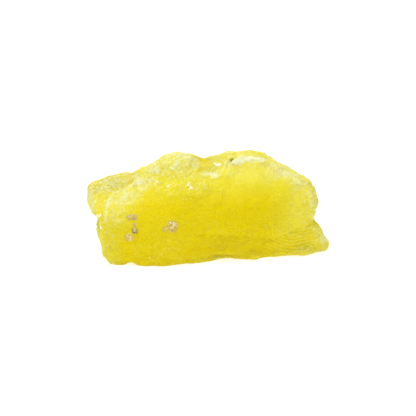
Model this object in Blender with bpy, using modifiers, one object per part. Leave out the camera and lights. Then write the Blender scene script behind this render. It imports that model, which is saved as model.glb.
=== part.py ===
"""A hand specimen of yellow botryoidal brucite, broken off its host rock and standing on the break.

The mineral grew as one rounded roll with knobs, a ledge, a crown and a foot grown into it, and was
then split away along rough fractures. It rests on a flat underside. It is one grown piece, so it is
one solid, named "brucite".

Frame: metres, +Z up, +X along the length, -Y the side that shows the smooth rolled face.
The origin is the middle of the underside of the bounding box. Dimensions are in millimetres, and
places are given in the growth frame, which the last step shifts to that origin.
"""

import math

import bmesh
import bpy
from mathutils import Euler, Matrix, Vector, noise

MM = 0.001

# The roll. Each line gives a value at places along X, joined by a smooth curve.
TOP_LINE = (
    (-31, 12.4), (-25, 14.4), (-19, 16.4), (-14.3, 18), (-10.6, 19.6), (-6.9, 20.8), (-2.7, 21.6),
    (3, 22), (8, 22.4), (12.8, 22.2), (16.5, 21.2), (20.2, 19.6), (24, 18.2), (28, 15.6), (32, 11),
)
TOP_Y_LINE = ((-31, -1), (-19, -1), (-10, 1.5), (-3, 4), (3, 4), (12, 3), (22, 2), (32, 1))
FRONT_LINE = (
    (-31, -9.6), (-25, -10.8), (-17, -11.9), (-8, -11.5), (0, -9.8), (8, -8.8), (14, -7.6), (20, -6.4),
    (25, -4.8), (29, -2.4), (32, 0.6),
)
BACK_LINE = ((-31, 9), (-22, 11.5), (-12, 12.8), (0, 13), (10, 12.5), (20, 10.5), (26, 7.5), (32, 3))
BELLY_SHARE = 0.36
FULLNESS = 2.5
UNDERCUT = 2.0
UNDERCUT_AT_BASE = 0.6
ROOT_DEPTH = 3.0
STATION_STEP = 1.0
RING_STEPS = 14

# Growths on the roll: name, centre, radii, turn about X, Y and Z in degrees.
GROWTHS = (
    ("left_knob", (-6.6, 4, 17.2), (7, 6, 6.6), (0, 0, 0)),
    ("knob_step", (-13, 3.5, 15), (6, 5.6, 5.6), (0, 0, 0)),
    ("back_slab", (-20.5, 7, 11.4), (11.5, 5, 5.4), (0, -11, 0)),
    ("left_ledge", (-26.2, 5.5, 12), (5, 6, 3.8), (0, -4, 0)),
    ("crown", (9.4, 4.4, 17.6), (9, 6.6, 6.4), (0, 0, 0)),
    ("crown_shoulder", (16, 3, 13.8), (9, 6.4, 7.6), (0, 28, 0)),
    ("back_knob", (-4, 9.5, 11), (8, 5, 7), (0, 0, 0)),
    ("back_boss", (11, 9, 9), (9, 5, 8), (0, 0, 0)),
    ("foot", (19.5, 1, 0.4), (11.2, 5.6, 4.6), (0, 0, -6)),
    ("base_lip", (11.4, -6, 0.6), (2.2, 1.8, 1.4), (0, 0, 0)),
)

# Hollows between the growths: name, centre, radii, turn in degrees, and how rough the hollow is.
HOLLOWS = (
    ("end_notch", (33.2, 0, 7.8), (6.8, 16, 6.1), (-25, 0, 0), 0.7),
    ("ledge_undercut", (-31.2, 2, 5), (4, 14, 4.2), (0, 0, 0), 0.4),
    ("slab_groove", (-26, 1.4, 16.6), (9, 1.4, 3), (14, -11, 4), 0.3),
    ("saddle", (0.6, -2, 25.8), (5, 7.5, 5.4), (20, 0, 0), 0.4),
    ("lower_band", (2, -15.2, 1), (17, 5.6, 5.2), (0, 0, 8), 0.3),
    ("back_cleft", (3, 15, 10), (3.4, 4.6, 13), (0, 14, 0), 1.2),
    ("rim_chip", (-18.6, -12.6, 0), (1.2, 2, 1.2), (0, 0, 0), 0.2),
    ("upper_vug", (-17.2, -11.1, 13.1), (1.3, 1.1, 1.2), (0, 0, 0), 0.2),
    ("lower_vug", (-18.5, -12.3, 7.9), (1.2, 1.1, 1.1), (0, 0, 0), 0.2),
    ("middle_vug", (-7.9, -11.8, 10.9), (1.4, 1.1, 1.3), (0, 0, 0), 0.2),
    ("crown_hole", (6.1, 1.8, 23.4), (0.8, 0.8, 1.6), (0, 0, 0), 0.1),
)

# Broken faces: name, a point on the face, the direction it faces, and how rough it is.
FRACTURES = (
    ("left_break", (-24.4, -9, 0), (-1, -0.2, -0.14), 0.4),
    ("left_heel", (-25.4, 0, 0), (-1, 0.05, -0.5), 0.4),
    ("left_corner", (-23.7, -11, 0), (-1, -0.8, -1), 0.3),
    ("ledge_break", (-29.6, 4, 12), (-1, -0.1, 0.12), 0.4),
    ("right_break", (27.6, 0, 10), (1, 0, 0.333), 0.5),
    ("back_break", (-6, 12.3, 5), (-0.06, 1, 0.1), 0.8),
)
UNDERSIDE = ("underside", (0, 0, 0), (0, 0, -1), 0.0)

# The grain of the hollows and of the broken faces: sizes of the lumps, and the cleavage steps.
HOLLOW_LUMP = 4
FRACTURE_LUMP = 5
FRACTURE_ROUGHNESS = 0.9
FRACTURE_OCTAVES = 4
CLEAVAGE_STEP = 0.6
CLEAVAGE_REACH = 9
CLEAVAGE_STEPS = 4
TREAD_SHARE = 0.7
CUTTER_SIZE = 80.0
CUTTER_CELLS = 60
FAR_APART = 31.0

# The relief of the skin: the size across and the height of each kind of lump.
SWELL_SIZE, SWELL_HEIGHT = 9, 0.5
KNOB_SIZE, KNOB_HEIGHT = 4.5, 0.8
GRIT_SIZE, GRIT_HEIGHT = 2.2, 0.3
CHIP_SIZE, CHIP_HEIGHT = 3, 0.6
KNOB_LEVEL = 0.6
CREASE_WIDTH = 0.7
LACUNARITY = 2.0

# Where the relief is calm, and by what share: from facing -Y a little to facing it squarely, between
# two heights, from the start of the crown to its full width, and from its middle to its back.
ROLLED_FACING = (0.1, 0.6)
ROLLED_TOP = (13, 18)
ROLLED_CALM = 0.85
CROWN_START = (2, 9)
CROWN_BACK = (6, 10)
CROWN_CALM = 0.6
CHIPPED_RIM = (1, 3.5)

# Ellipsoids are icospheres, with fewer faces on the small ones.
SMALL_RADIUS = 3.0
SMALL_DETAIL = 2
LARGE_DETAIL = 4

LEMON_YELLOW = (0.82, 0.66, 0.03)
WAXY_ROUGHNESS = 0.45

# The surface: the grid that joins the growths, the grid after the cuts, and the share of faces kept.
COARSE_VOXEL = 0.6
FINE_VOXEL = 0.5
KEPT_SHARE = 0.2
CREASE_ROUNDS = 4
WEAR_ROUNDS = 2
SMOOTH_FACTOR = 0.5


def clear_scene():
    for obj in list(bpy.data.objects):
        bpy.data.objects.remove(obj)


def along(line, x):
    """The value of a line at x: a smooth curve through its points."""
    for index in range(len(line) - 1):
        if x <= line[index + 1][0]:
            break
    (x1, v1), (x2, v2) = line[index], line[index + 1]
    x0, v0 = line[max(index - 1, 0)]
    x3, v3 = line[min(index + 2, len(line) - 1)]
    slope1 = (v2 - v0) / (x2 - x0)
    slope2 = (v3 - v1) / (x3 - x1)
    span = x2 - x1
    t = min(max((x - x1) / span, 0), 1)
    return (
        (1 + 2 * t) * (1 - t) ** 2 * v1
        + t * (1 - t) ** 2 * span * slope1
        + t * t * (3 - 2 * t) * v2
        + t * t * (t - 1) * span * slope2
    )


def section(x):
    """One cross-section of the roll, from the front of the base over the top to the back of the base."""
    top, top_y = along(TOP_LINE, x), along(TOP_Y_LINE, x)
    front, back = along(FRONT_LINE, x), along(BACK_LINE, x)
    belly = BELLY_SHARE * top
    power = 2 / FULLNESS
    ring = [(front + UNDERCUT, -ROOT_DEPTH), (front + UNDERCUT * UNDERCUT_AT_BASE, 0.0)]
    for step in range(RING_STEPS + 1):
        angle = math.pi * step / RING_STEPS
        side = front if step <= RING_STEPS / 2 else back
        reach = abs(math.cos(angle)) ** power
        rise = math.sin(angle) ** power if 0 < step < RING_STEPS else 0.0
        ring.append((top_y + (side - top_y) * reach, belly + (top - belly) * rise))
    ring += [(back - UNDERCUT * UNDERCUT_AT_BASE, 0.0), (back - UNDERCUT, -ROOT_DEPTH)]
    return [Vector((x, y, z)) * MM for y, z in ring]


def add_roll(bm):
    first, last = TOP_LINE[0][0], TOP_LINE[-1][0]
    count = round((last - first) / STATION_STEP)
    rings = []
    for station in range(count + 1):
        x = first + (last - first) * station / count
        rings.append([bm.verts.new(point) for point in section(x)])
    for ring, following in zip(rings, rings[1:]):
        for index in range(len(ring)):
            after = (index + 1) % len(ring)
            bm.faces.new((ring[index], ring[after], following[after], following[index]))
    bm.faces.new(rings[0][::-1])
    bm.faces.new(rings[-1])


def add_ellipsoid(bm, centre, radii, turn):
    place = Matrix.LocRotScale(
        Vector(centre) * MM,
        Euler([math.radians(angle) for angle in turn]),
        Vector(radii) * MM,
    )
    detail = LARGE_DETAIL if max(radii) > SMALL_RADIUS else SMALL_DETAIL
    return bmesh.ops.create_icosphere(bm, subdivisions=detail, radius=1.0, matrix=place)["verts"]


def finished_mesh(bm, name):
    mesh = bpy.data.meshes.new(name)
    bm.to_mesh(mesh)
    bm.free()
    return mesh


def grown_mesh():
    bm = bmesh.new()
    add_roll(bm)
    for _name, centre, radii, turn in GROWTHS:
        add_ellipsoid(bm, centre, radii, turn)
    bmesh.ops.recalc_face_normals(bm, faces=bm.faces)
    return finished_mesh(bm, "brucite")


def cutter_object(bm, name, cutters):
    cutter = bpy.data.objects.new(name, finished_mesh(bm, name))
    cutters.objects.link(cutter)
    cutter.hide_render = True
    cutter.display_type = "WIRE"
    return cutter


def fractal(point, size, roughness, octaves):
    """Noise with lumps about size across, from about -1 to 1."""
    return noise.fractal(point / size, roughness, LACUNARITY, octaves)


def ragged(point):
    """A push that wanders smoothly from place to place, up to about 1 each way."""
    return Vector([noise.noise(point + Vector((0, 0, FAR_APART * axis))) for axis in range(3)])


def hollow_cutter(name, centre, radii, turn, rough, cutters):
    """An ellipsoid roughened by noise."""
    bm = bmesh.new()
    for vert in add_ellipsoid(bm, centre, radii, turn):
        vert.co += ragged(vert.co / MM / HOLLOW_LUMP) * rough * MM
    return cutter_object(bm, name, cutters)


def fracture_cutter(name, point, facing, rough, cutters):
    """A big block whose near face is the broken face: rough, and stepped where the mineral cleaves."""
    bm = bmesh.new()
    raised = Matrix.Translation((0, 0, CUTTER_SIZE / 2 * MM))
    bmesh.ops.create_cube(bm, size=CUTTER_SIZE * MM, matrix=raised)
    if rough:
        bmesh.ops.subdivide_edges(bm, edges=bm.edges[:], cuts=CUTTER_CELLS, use_grid_fill=True)
    for vert in bm.verts:
        if rough and vert.co.z < MM:
            place = vert.co / MM
            steps = stepped(noise.noise(place / CLEAVAGE_REACH) * CLEAVAGE_STEPS)
            lumps = fractal(place, FRACTURE_LUMP, FRACTURE_ROUGHNESS, FRACTURE_OCTAVES)
            vert.co.z += rough * MM * (lumps + CLEAVAGE_STEP * steps)
    turn = Vector(facing).to_track_quat("Z", "Y").to_matrix().to_4x4()
    bmesh.ops.transform(bm, matrix=Matrix.Translation(Vector(point) * MM) @ turn, verts=bm.verts)
    return cutter_object(bm, name, cutters)


def smoothstep(low, high, value):
    t = min(max((value - low) / (high - low), 0.0), 1.0)
    return t * t * (3 - 2 * t)


def stepped(value):
    """The value as a flight of steps of height 1, with a short riser between two treads."""
    tread = math.floor(value)
    return tread + smoothstep(TREAD_SHARE, 1.0, value - tread)


def domes(point, size):
    """Rounded knobs about size across, with creases between them, from 0 in a crease to 1 on a dome."""
    near, following = noise.voronoi(point / size)[0][:2]
    return min(1.0, (following - near) / CREASE_WIDTH)


def relief(point, normal):
    """How far the surface stands out at a point, in millimetres."""
    rolled_face = smoothstep(*ROLLED_FACING, -normal.y) * (1 - 0.5 * smoothstep(*ROLLED_TOP, point.z))
    crown = smoothstep(*CROWN_START, point.x) * (1 - smoothstep(*CROWN_BACK, point.y))
    knobbly = (1 - ROLLED_CALM * rolled_face) * (1 - CROWN_CALM * crown)
    swell = SWELL_HEIGHT * fractal(point, SWELL_SIZE, 1.0, 3)
    knobs = KNOB_HEIGHT * (domes(point, KNOB_SIZE) - KNOB_LEVEL)
    grit = GRIT_HEIGHT * fractal(point, GRIT_SIZE, 0.8, 3)
    chips = CHIP_HEIGHT * (1 - smoothstep(*CHIPPED_RIM, point.z)) * fractal(point, CHIP_SIZE, 0.8, 2)
    return swell + knobbly * (knobs + grit) + chips


def sculpted(mesh):
    normals = [vert.normal.copy() for vert in mesh.vertices]
    for vert, normal in zip(mesh.vertices, normals):
        vert.co += normal * relief(vert.co / MM, normal) * MM
    return mesh


def evaluated_mesh(obj, name):
    """A new mesh of the object as its modifiers make it."""
    graph = bpy.context.evaluated_depsgraph_get()
    mesh = bpy.data.meshes.new_from_object(obj.evaluated_get(graph))
    mesh.name = name
    return mesh


def add_remesh(obj, name, voxel):
    remesh = obj.modifiers.new(name, "REMESH")
    remesh.mode = "VOXEL"
    remesh.voxel_size = voxel * MM


def add_smooth(obj, name, iterations):
    smooth = obj.modifiers.new(name, "SMOOTH")
    smooth.iterations = iterations
    smooth.factor = SMOOTH_FACTOR


def add_cut(obj, cutter):
    cut = obj.modifiers.new(cutter.name, "BOOLEAN")
    cut.operation = "DIFFERENCE"
    cut.solver = "EXACT"
    cut.object = cutter
    cutter.parent = obj


def stand_on_origin(obj):
    """Shift the specimen, with its cutters, so that the middle of its underside is at the origin."""
    bpy.context.view_layer.update()
    graph = bpy.context.evaluated_depsgraph_get()
    corners = [Vector(corner) for corner in obj.evaluated_get(graph).bound_box]
    low = Vector(min(corner[axis] for corner in corners) for axis in range(3))
    high = Vector(max(corner[axis] for corner in corners) for axis in range(3))
    obj.location = -Vector(((low.x + high.x) / 2, (low.y + high.y) / 2, low.z))


def brucite_material():
    material = bpy.data.materials.new("brucite")
    material.use_nodes = True
    shader = material.node_tree.nodes["Principled BSDF"]
    shader.inputs["Base Color"].default_value = (*LEMON_YELLOW, 1)
    shader.inputs["Roughness"].default_value = WAXY_ROUGHNESS
    shader.inputs["Metallic"].default_value = 0
    return material


def main():
    clear_scene()
    specimen = bpy.data.collections.new("brucite_specimen")
    cutters = bpy.data.collections.new("cutters")
    bpy.context.scene.collection.children.link(specimen)
    bpy.context.scene.collection.children.link(cutters)
    obj = bpy.data.objects.new("brucite", grown_mesh())
    specimen.objects.link(obj)

    add_remesh(obj, "grow_together", COARSE_VOXEL)
    add_smooth(obj, "soften_creases", CREASE_ROUNDS)
    grown = sculpted(evaluated_mesh(obj, "brucite_sculpted"))
    grown.materials.append(brucite_material())
    obj.modifiers.clear()
    obj.data = grown

    add_remesh(obj, "clean_skin", FINE_VOXEL)
    for hollow in HOLLOWS:
        add_cut(obj, hollow_cutter(*hollow, cutters))
    for fracture in FRACTURES:
        add_cut(obj, fracture_cutter(*fracture, cutters))
    add_remesh(obj, "even_out", FINE_VOXEL)
    add_smooth(obj, "wear_edges", WEAR_ROUNDS)
    decimate = obj.modifiers.new("fewer_faces", "DECIMATE")
    decimate.ratio = KEPT_SHARE
    add_cut(obj, fracture_cutter(*UNDERSIDE, cutters))
    stand_on_origin(obj)


main()
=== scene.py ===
"""Dresses the brucite solid as a translucent yellow hand specimen, lying on a white light table.

The solid keeps its size and place. A finer copy of it gets the sugary, ridged and broken surface of
the mineral, small crystal plates that glint on it, and the grains of host rock grown into it.
Lengths written as a number times MM, and those of the stage, are in metres. The others are in
millimetres. Places are in the solid's own frame: +Z up, +X along the specimen, -Y the smooth
rolled face.
"""

import math
import random
from functools import reduce
from operator import add

import bmesh
import bpy
import numpy as np
from bpy.props import FloatProperty, FloatVectorProperty, IntProperty, PointerProperty
from mathutils import Matrix, Vector, noise
from mathutils.bvhtree import BVHTree


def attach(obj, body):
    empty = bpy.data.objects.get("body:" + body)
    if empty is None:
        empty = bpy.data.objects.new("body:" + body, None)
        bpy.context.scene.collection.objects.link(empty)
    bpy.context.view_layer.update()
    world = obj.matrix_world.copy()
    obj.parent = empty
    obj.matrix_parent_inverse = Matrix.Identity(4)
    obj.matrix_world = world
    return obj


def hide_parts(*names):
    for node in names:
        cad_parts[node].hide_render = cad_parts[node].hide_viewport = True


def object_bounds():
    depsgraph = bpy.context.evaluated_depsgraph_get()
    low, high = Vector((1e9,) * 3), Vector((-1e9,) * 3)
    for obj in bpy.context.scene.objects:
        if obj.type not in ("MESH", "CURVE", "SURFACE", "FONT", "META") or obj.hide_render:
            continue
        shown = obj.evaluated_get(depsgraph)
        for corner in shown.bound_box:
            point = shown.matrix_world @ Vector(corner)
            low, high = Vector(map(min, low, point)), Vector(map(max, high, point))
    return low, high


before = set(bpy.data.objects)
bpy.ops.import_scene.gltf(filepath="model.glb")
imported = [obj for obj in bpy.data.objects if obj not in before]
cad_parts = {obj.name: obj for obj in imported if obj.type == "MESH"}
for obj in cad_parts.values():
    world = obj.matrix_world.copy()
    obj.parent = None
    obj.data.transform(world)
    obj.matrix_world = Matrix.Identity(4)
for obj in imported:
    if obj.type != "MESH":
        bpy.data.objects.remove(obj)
SOLID_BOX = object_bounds()

bl_info = {
    "name": "Brucite Specimen",
    "version": (1, 0, 0),
    "blender": (4, 5, 0),
    "location": "View3D > Sidebar > Brucite",
    "description": "Dresses a solid as a hand specimen of yellow brucite on a light table",
    "category": "Object",
}

MM = 0.001
NODE = "brucite"
BODY = "root"

# Frosted places, partly painted light: name, centre, radii, and how pale the crust and its painted light
# are there, from 0 to 1.
FROST_AND_LIGHT_PATCHES = (
    # The knob, shoulder and slab top: frosted crust, paled further by painted light from above.
    ("left_knob", (-7, 2.5, 21.5), (6, 6, 3.4), 0.7),
    ("knob_crown", (-7, 3.5, 23), (6, 3, 0.9), 0.78),
    ("knob_left", (-12.8, 1, 20.4), (2.6, 4, 1.4), 0.78),
    ("knob_rim", (-3, 1.2, 21.9), (1.5, 4, 1.5), 0.85),
    ("knob_step", (-16, 1, 17.8), (6.6, 6, 2.4), 0.7),
    ("slab_top", (-23, 4.5, 14.5), (9, 5, 3.5), 0.65),
    ("roll_shoulder", (-20.5, -3, 15.6), (6.5, 6.5, 2.8), 0.64),
    ("roll_front", (-22, -8.5, 13), (4.4, 5, 4.2), 0.48),
    # Painted rim light along the edge of the rolled face.
    ("roll_rim", (-24.4, -7, 13), (1.2, 5.5, 4), 0.62),
    ("left_end", (-31, 0, 9), (4.4, 14, 12), 0.7),
    ("shoulder_right", (-15.6, -3.4, 17), (2.8, 2.5, 1.8), 0.56),
    ("saddle", (0.5, 3.5, 21), (4, 4, 2), 0.36),
    # Painted highlights on the terraces, the pit's rim and the crown ridge and slope, as if lit from
    # above.
    ("terrace_left", (0.2, -2.2, 20.8), (2.2, 1.2, 0.8), 1.1),
    ("terrace_right", (2.4, -3.2, 20.2), (1.9, 1.3, 0.9), 0.95),
    ("pit_rim", (4.8, 0.6, 22.4), (0.8, 1.2, 1.2), 0.8),
    ("crown_ridge_left", (7.2, -0.2, 22.9), (2.6, 1.2, 1), 0.95),
    ("crown_ridge", (11.5, 1.0, 23), (5, 1.4, 1.1), 0.95),
    ("crown_slope", (17.5, 0.3, 21), (4.5, 1.5, 1.4), 0.6),
    ("crown_back", (12, 5, 22), (9, 4, 3), 0.5),
    # Painted rim light on the right rim and the foot's tip; the notch is paled out of its shade.
    ("right_rim", (25.8, -2, 14.5), (2.4, 6, 6), 0.52),
    ("right_notch", (25.5, -4, 9.5), (2, 4, 2), 0.55),
    ("foot_tip", (28.2, -3.2, 4.4), (1.6, 4, 2.2), 0.75),
    # Painted light at the base, as if lit up through the table.
    ("base_edge", (1, -9.5, 0.6), (9, 2, 1.4), 0.2),
    ("back", (0, 13, 11), (34, 8, 12), 0.42),
)

# Places where the paleness, frost and painted light alike, is taken away to leave the clear gold: name,
# centre, radii, and how far.
BARE_PATCHES = (
    ("foot", (21.5, -6.5, 2.8), (5.5, 3, 4), 0.6),
    ("lower_face", (-2, -12, 7), (12, 3, 5), 0.3),
    ("crown_end", (18.2, -3.2, 17.6), (1.8, 2.5, 1.8), 0.4),
    ("crown_start", (4.4, -4.6, 19.2), (2, 2, 1.6), 0.3),
    ("knob_foot", (-8, -5, 19.4), (4, 2.5, 1.6), 0.2),
)

# Painted light: how far the mass pales toward its frosted top lit from above, its thin ends that light
# passes through, and its base lit from the table; where it starts, where it ends, along which axis, and
# how white it gets there.
PAINTED_LIGHT_EDGES = (
    ("top", 14.2, 21, 2, 0.46),
    ("right", 12.5, 21.5, 0, 0.4),
    ("left", -18.5, -24, 0, 0.34),
    ("base", 1.6, 0, 2, 0.12),
)

# Painted shade under the front's turn, on the recessed slab, in the saddle and low down, and deeper gold
# in the thick middle: name, centre, radii, and how strong it is there.
DEEP_AND_SHADE_PATCHES = (
    ("lower_band", (5, -8.5, 5), (12, 3, 2.8), 0.8),
    ("lower_left", (-12, -11, 2), (12, 3, 3), 0.4),
    ("foot_face", (19, -6.5, 4), (9, 3, 3), 0.25),
    ("slab", (-24, 5.5, 14), (9, 5, 4), 1.0),
    ("right_middle", (14, -8, 10), (8, 3, 5), 0.3),
    ("saddle", (-0.5, 3.5, 21), (4.5, 4.5, 2.5), 1.1),
)

# Smooth places, where the crust has no sugar: name, centre, radii, and how smooth.
SMOOTH_PATCHES = (
    ("crown_face", (12, -5, 17.5), (11, 4.5, 6), 1.0),
    ("right_face", (21.5, -5.5, 12.5), (6, 4, 7), 1.0),
    ("foot_face", (20, -6, 4), (9, 3, 4), 0.6),
    ("crown_ridge", (11, 0.6, 23), (6.5, 2, 1.4), 0.3),
    ("saddle", (-0.5, 3, 21), (2.5, 3, 2), 0.5),
)

# Places worn plain, where the solid's facets are smoothed away: name, centre, radii, and how plain.
PLAIN_PATCHES = (
    ("slab", (-24, 3, 14), (7, 8, 5), 0.75),
    ("shoulder", (-18, 0, 16.5), (5, 4, 3), 0.8),
    ("roll_end", (-25.5, -8, 10), (3, 5, 6), 0.7),
)

# Places built of thin sheets seen edge on: name, centre, radii, and how plain the sheets are.
LAYERED_PATCHES = (
    ("slab", (-23, 4.5, 13.5), (9, 5.5, 4), 1.0),
    ("foot", (23, -4.5, 3), (9, 5, 4.5), 0.4),
    ("right_end", (25.5, -2, 12), (2.6, 7, 6), 0.8),
    ("left_end", (-29, 0, 7), (3, 12, 8), 0.7),
    ("back", (8, 11, 8), (14, 4, 7), 0.6),
    ("low_front", (-12, -11.5, 4), (6, 3, 4), 0.5),
)

# The fine lines that fan over the foot: what they run round, and the centre and radii of their place.
FAN_HEART = (22, -6, 14)
FAN_PATCH = ((22, -5, 3.5), (8, 5, 3.6))

# Creases and crests: name, points, half width, height, and the paleness that each adds: painted highlight
# on the rims and crests, and painted shade in the creases, the saddle floor and the hollow edges.
LINES = (
    (
        "roll_crease",
        (
            (-25.4, -9.4, 12), (-25.4, -8.4, 13), (-25.3, -5, 14.4), (-24.6, -1, 14.6),
            (-22.5, 1.8, 15), (-19.3, 1.9, 16.4), (-16.2, 0, 18.4),
        ),
        0.7, -0.2, -0.2,
    ),
    (
        "roll_rim",
        (
            (-24.3, -9, 13), (-24.2, -8, 13.8), (-23.8, -4.5, 15), (-22.4, -1, 15.5),
            (-19.3, -0.4, 16.6), (-16.4, -1.6, 18.2),
        ),
        0.6, 0.24, 0.4,
    ),
    (
        "knob_side",
        ((-3.2, 5, 21.5), (-3.2, 2.5, 22.2), (-3.5, 0.3, 22), (-4.6, -1.4, 21.2)),
        0.8, -0.14, -0.12,
    ),
    (
        "crown_crest",
        (
            (4.4, -1.8, 21.4), (5.4, -0.9, 22.2), (6.6, -0.1, 22.8), (8.6, 0.6, 23.3),
            (11, 1.4, 23.4), (13.4, 1.2, 22.8), (15.4, 0.8, 21.8), (17.8, -0.2, 20.6),
            (20.1, -0.8, 19.3), (22.5, -1.9, 17.7),
        ),
        0.75, 0.18, 0.22,
    ),
    ("saddle_floor", ((-1.6, 5, 21.4), (-1.4, 1, 21.3), (-1.8, -1, 20.8)), 1.5, -0.1, -0.25),
    (
        "crown_edge",
        ((5.2, 0.6, 22.4), (4.4, -2.6, 21.2), (3.6, -4.4, 20.2), (1.2, -4.6, 19.8)),
        0.5, -0.3, -0.1,
    ),
    (
        "undercut",
        ((-2, -10.8, 8), (3, -9.8, 7.2), (8, -9.3, 6.8), (12, -8.1, 5.8), (15.5, -7.4, 5.6)),
        0.7, -0.3, 0.0,
    ),
    (
        "foot_top",
        ((25.8, -4.6, 8.6), (22.5, -6.1, 7.6), (18.8, -7.2, 6.2), (14, -7.6, 4.4)),
        0.6, -0.25, 0.0,
    ),
)

# Places that stand out or sink in: name, centre, radii, and by how much.
SWELLS = (
    ("ledge_corner", (-28.6, 3, 9.2), (2.2, 8, 2.0), 1.15),
    ("ledge_top", (-27.2, 4, 15), (2.4, 4, 1.6), -0.5),
    ("ledge_point", (-29.4, 3.5, 13.6), (1.4, 4, 1.4), 0.3),
    ("ledge_rise", (-23, 6, 16), (4.4, 4, 2), 0.3),
    ("under_ledge", (-27.8, -1, 7.4), (2.4, 8, 1.7), -2.1),
    ("under_ledge_front", (-26.8, -7, 9.8), (2, 4, 2.4), -0.7),
    ("left_heel", (-25.6, -9, 3.4), (2, 5, 2), 0.3),
    ("heel_chip", (-21.5, -12, 0.2), (3, 1.6, 0.9), -0.6),
    ("right_side", (26, -1, 13), (2, 7, 3.6), 0.6),
    ("side_notch", (25.6, -3.5, 9.2), (1.4, 5, 1.2), -0.2),
    ("foot_slope", (26.8, -3.5, 5.4), (2.4, 5, 2.6), 1.4),
    ("foot_tip", (29, -3, 2), (1.6, 4, 1.6), 0.9),
    ("knob_top", (-6.5, 3, 22.4), (4, 5, 2), 0.3),
    ("knob_back", (-13, 3, 20.6), (2.5, 4, 1.6), 0.5),
    ("saddle_rise", (2.6, 4.5, 22), (3.2, 4, 1.6), 0.55),
    ("crown_hollow", (13, 3.2, 23), (7, 1.6, 1.6), -0.3),
    ("crown_shoulder", (19.4, 3, 20.8), (2.4, 4, 2), -0.5),
    ("pit", (5.95, 1.1, 22.7), (0.38, 0.45, 0.55), -1.1),
    ("base_lip", (11.8, -8, 0.6), (1.8, 1.6, 1.4), 1.1),
    ("foot_lip", (21.5, -6, 0.6), (4, 1.6, 1.3), 1.0),
    ("lip_notch", (3.8, -9.4, 0.6), (4.6, 2.2, 1.3), -0.8),
)

# Chips out of the foot of the mass: name, centre, radii, and how far each lifts the edge.
BASE_CHIPS = (
    ("notch", (-18.6, -12.4, 0), (1.2, 2.4, 1), 0.9),
    ("heel", (-26, -10, 0), (1.6, 5, 1.4), 1.8),
    ("between_lips", (4.6, -9.6, 0), (2.4, 2.4, 1), 0.8),
)

# Grains of host rock: name, centre, spread, number of grains, largest grain, and how dark they are.
HOST_SPOTS = (
    ("upper_spot", (-18.3, -11.0, 13.2), (1.4, 0.4, 0.5), 42, 0.26, 0.35),
    ("upper_dark", (-18.0, -11.2, 12.6), (0.9, 0.3, 0.5), 20, 0.24, 0.8),
    ("spot_trail", (-17.5, -12, 11.4), (0.4, 0.3, 0.8), 22, 0.22, 0.4),
    ("ring_pale", (-17.5, -12.3, 10.1), (0.3, 0.3, 0.3), 8, 0.24, 0.0),
    ("ring_left", (-17.9, -12.3, 10.1), (0.3, 0.3, 0.5), 10, 0.24, 1.4),
    ("ring_low", (-17.4, -12.3, 9.5), (0.42, 0.3, 0.3), 14, 0.24, 1.6),
    ("ring_right", (-16.9, -12.3, 10.2), (0.25, 0.3, 0.6), 8, 0.24, 0.9),
    ("lower_spot", (-18.9, -12.4, 8.2), (1.0, 0.4, 0.9), 40, 0.28, 0.0),
    ("middle_spot", (-8.3, -11.8, 11.2), (1.1, 0.4, 1.3), 66, 0.28, 0.05),
    ("middle_dark", (-8.0, -11.8, 10.6), (0.9, 0.4, 1.1), 20, 0.22, 0.5),
    ("middle_faint", (-10.1, -12.1, 10.2), (0.7, 0.4, 0.6), 12, 0.22, 0.0),
    ("pit_floor", (5.95, 1.2, 22.4), (0.12, 0.16, 0.36), 14, 0.26, 1.7),
    ("right_speck", (20.7, -6.3, 14), (0.1, 0.1, 0.1), 2, 0.22, 0.7),
    ("low_speck", (14.4, -8, 8.6), (0.15, 0.1, 0.1), 2, 0.22, 0.6),
    ("crystal_heart", (3.1, 0.3, 21.7), (0.3, 0.3, 0.2), 7, 0.26, 0.45),
)

# Clusters of crystal plates whose near-white colour paints part of their glints: name, centre, spread,
# plates, and largest plate.
GLINTS = (
    ("knob_glint", (-5, -0.6, 22.1), 0.7, 8, 0.4),
    ("shoulder_glint_a", (-14.3, -2, 18.3), 0.7, 9, 0.45),
    ("shoulder_glint_b", (-12.4, -3.9, 19), 0.6, 8, 0.45),
    ("shoulder_glint_c", (-9.5, -5.5, 18.8), 0.7, 7, 0.4),
    ("shoulder_glint_d", (-4.1, -6.5, 19.1), 0.9, 16, 0.55),
    ("ledge_glint_a", (-28.5, 2, 14), 1.6, 20, 0.36),
    ("ledge_glint_b", (-25.5, 2.2, 14.4), 1.8, 20, 0.36),
    ("ledge_glint_c", (-22.8, 2.4, 15), 1.8, 18, 0.36),
    ("end_glint_a", (-26.2, -8.4, 12.4), 0.9, 12, 0.5),
    ("end_glint_b", (-26, -10, 10), 1.1, 14, 0.42),
    ("saddle_crystal", (2.6, 0.3, 21.7), 0.9, 32, 0.6),
    ("saddle_tip", (1.6, 1.3, 21.6), 0.5, 8, 0.4),
    ("pit_glint", (6.4, 0.2, 22.7), 0.9, 10, 0.45),
    ("crown_end_glint", (21.9, 0.6, 18.7), 1.4, 12, 0.4),
    ("terrace_glint", (1.4, -2.8, 20.5), 1.5, 16, 0.45),
    ("foot_glint", (27.1, -3.9, 4.5), 0.9, 6, 0.4),
)

# How a patch fades: how far by its radii, and how sharply there.
PATCH_FALL = 0.7
PATCH_POWER = 1.5

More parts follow.
